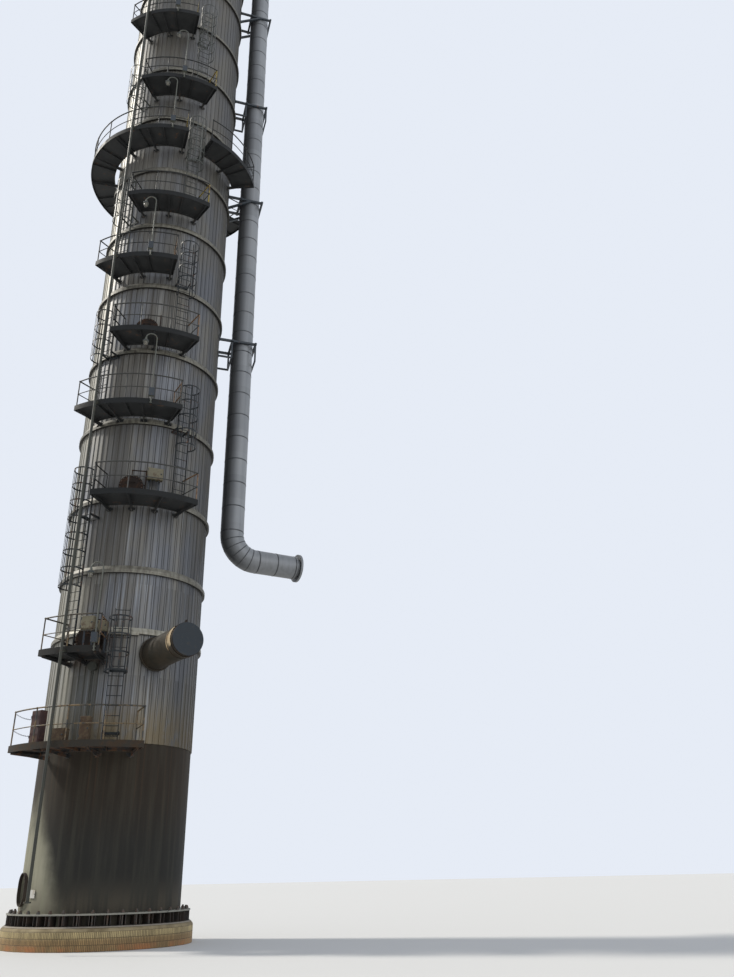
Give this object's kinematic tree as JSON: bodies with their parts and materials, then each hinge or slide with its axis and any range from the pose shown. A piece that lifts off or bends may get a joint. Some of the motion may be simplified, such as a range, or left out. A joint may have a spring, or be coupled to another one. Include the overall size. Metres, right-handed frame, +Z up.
{
  "type": "distillation column, 1:2 scale model",
  "caption": "Tall clad process column on a skirt and round pedestal, with ring bands, platforms, caged ladders, manways and an overhead vapour line.",
  "frame": {"origin": "centre of the pedestal's bottom face", "axes": "+Z up along the column; -Y is the front, with the platforms; +X is the side with the vapour line"},
  "size_m": [4.8993, 4.2562, 30.6879],
  "materials": {
    "concrete": "rough, stained at the foot",
    "base_steel": "weathered dark grey with rust",
    "bolt_steel": "dull, rusty",
    "skirt_coat": "matt grey-green fire coat",
    "vessel_steel": "primer",
    "cladding": "dull weathered sheet",
    "ring_band": "dull weathered sheet",
    "nozzle_rust": "rusted brown",
    "blank_blue": "blue-grey paint",
    "line_jacket": "bright sheet, softly dulled",
    "steelwork": "dark blue-grey paint",
    "deck_steel": "dark grey paint, scuffed",
    "rail_paint": "dark grey paint, yellow at the gates",
    "ladder_paint": "grey paint",
    "pipe_paint": "dull grey paint"
  },
  "bodies": {
    "root": {"pedestal": "concrete", "base_ring": "base_steel", "anchor_bolts": "bolt_steel", "skirt": "skirt_coat", "bottom_head": "vessel_steel", "shell": "vessel_steel", "top_head": "vessel_steel", "head_jacket": "cladding", "cladding_lower": "cladding", "cladding_middle": "cladding", "cladding_upper": "cladding", "ring_bands": "ring_band", "stub_nozzle": "nozzle_rust", "stub_blank": "blank_blue", "manway_necks": "nozzle_rust", "manway_covers": "nozzle_rust", "drop_lines": "pipe_paint", "bottom_outlet": "pipe_paint", "vapour_gooseneck": "line_jacket", "vapour_riser": "line_jacket", "vapour_elbow": "line_jacket", "vapour_outlet": "line_jacket", "line_supports": "steelwork", "utility_riser": "pipe_paint", "top_davit": "steelwork", "platform_00": "deck_steel", "platform_01": "deck_steel", "platform_02": "deck_steel", "platform_03": "deck_steel", "platform_04": "deck_steel", "platform_05": "deck_steel", "platform_06": "deck_steel", "platform_07": "deck_steel", "platform_08": "deck_steel", "platform_09": "deck_steel", "platform_10": "deck_steel", "platform_11": "deck_steel", "platform_12": "deck_steel", "platform_13": "deck_steel", "platform_14": "deck_steel", "railings_lower": "rail_paint", "railings_middle": "rail_paint", "railings_upper": "rail_paint", "ladders_lower": "ladder_paint", "ladders_middle": "ladder_paint", "ladders_upper": "ladder_paint", "lamp_posts": "ladder_paint"}
  },
  "joints": []
}
